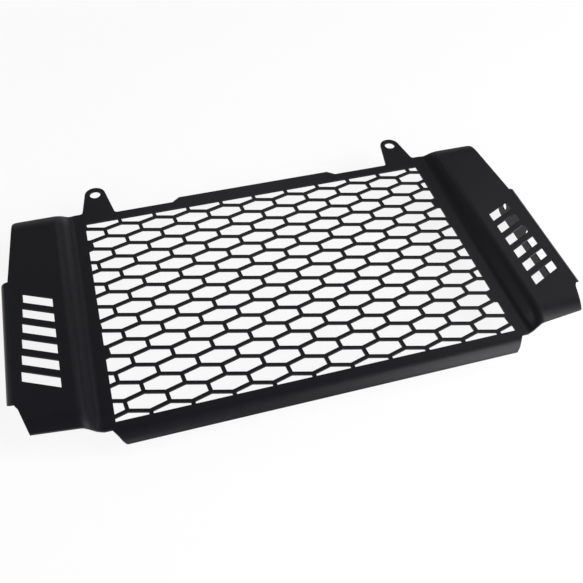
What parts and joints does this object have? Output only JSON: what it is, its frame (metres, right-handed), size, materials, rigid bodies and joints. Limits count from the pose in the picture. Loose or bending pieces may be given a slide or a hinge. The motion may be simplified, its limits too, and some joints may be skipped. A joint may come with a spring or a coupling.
{
  "type": "motorcycle radiator guard",
  "caption": "Bent sheet-metal guard with a honeycomb grille, slotted side wings, two mounting ears and side flanges, that fits over a motorcycle's radiator.",
  "frame": {"origin": "the floor under the middle of the guard, where it stands on the lower edges of its two side flanges", "axes": "+X across the guard to the right as seen from the front, +Y up the grille towards the mounting ears, +Z out of the front face"},
  "size_m": [0.4054, 0.2388, 0.0342],
  "materials": {
    "black_coat": "black powder coat, satin, with a fine grain"
  },
  "bodies": {
    "root": {"guard": "black_coat"}
  },
  "joints": []
}
